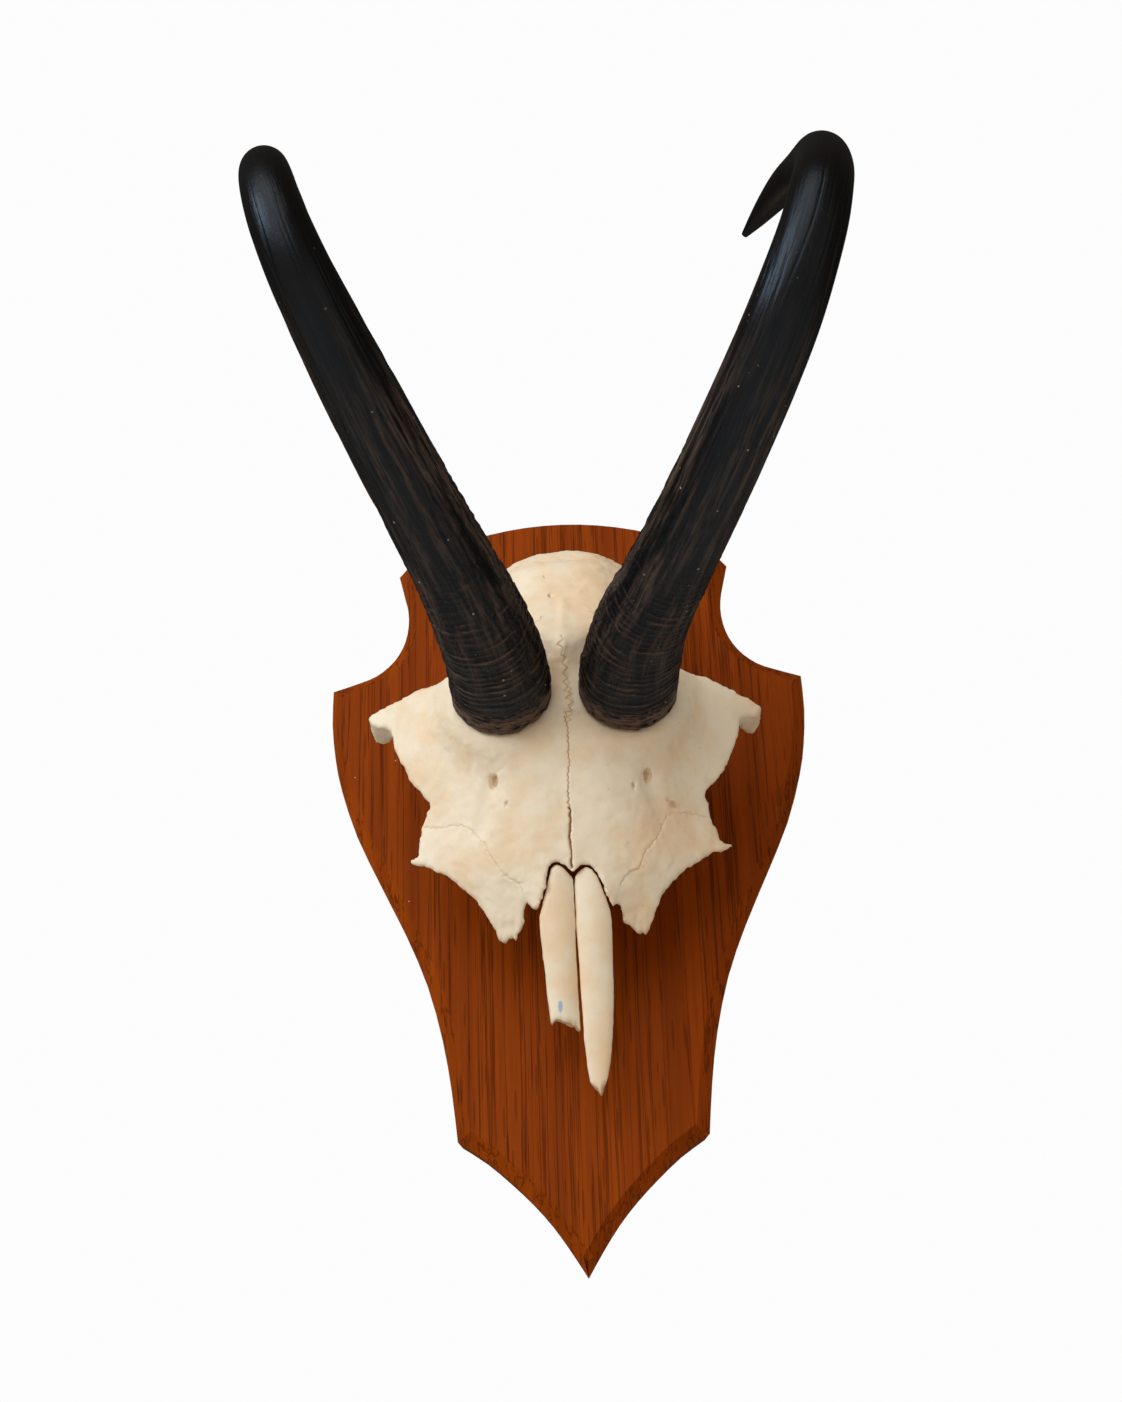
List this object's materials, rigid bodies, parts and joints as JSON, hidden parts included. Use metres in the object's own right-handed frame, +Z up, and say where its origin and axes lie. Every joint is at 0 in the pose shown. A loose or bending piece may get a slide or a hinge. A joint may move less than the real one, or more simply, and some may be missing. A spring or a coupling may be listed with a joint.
{
  "type": "chamois horn mount",
  "caption": "Cut chamois skull cap with hooked black horns and nasal bones on a shield-shaped wooden wall plaque, hung by a keyhole plate.",
  "frame": {"origin": "on the plaque's flat back face, on the shield's middle line, at the height of its widest place", "axes": "+Z up the wall, +X to the viewer's right, -Y out from the wall towards the viewer"},
  "size_m": [0.1386, 0.2029, 0.2313],
  "materials": {
    "stained_wood": "stained and thinly varnished, warm red-brown",
    "bone": "dry bleached bone, matt cream",
    "horn": "black horn, ringed and dull at the base, smooth and half glossy above",
    "steel": "zinc-plated"
  },
  "bodies": {
    "root": {"plaque": "stained_wood", "skull_cap": "bone", "nasal_left": "bone", "nasal_right": "bone", "horn_left": "horn", "horn_right": "horn", "hanger_plate": "steel", "hanger_screw_upper": "steel", "hanger_screw_lower": "steel", "skull_screw_left": "steel", "skull_screw_right": "steel"}
  },
  "joints": []
}
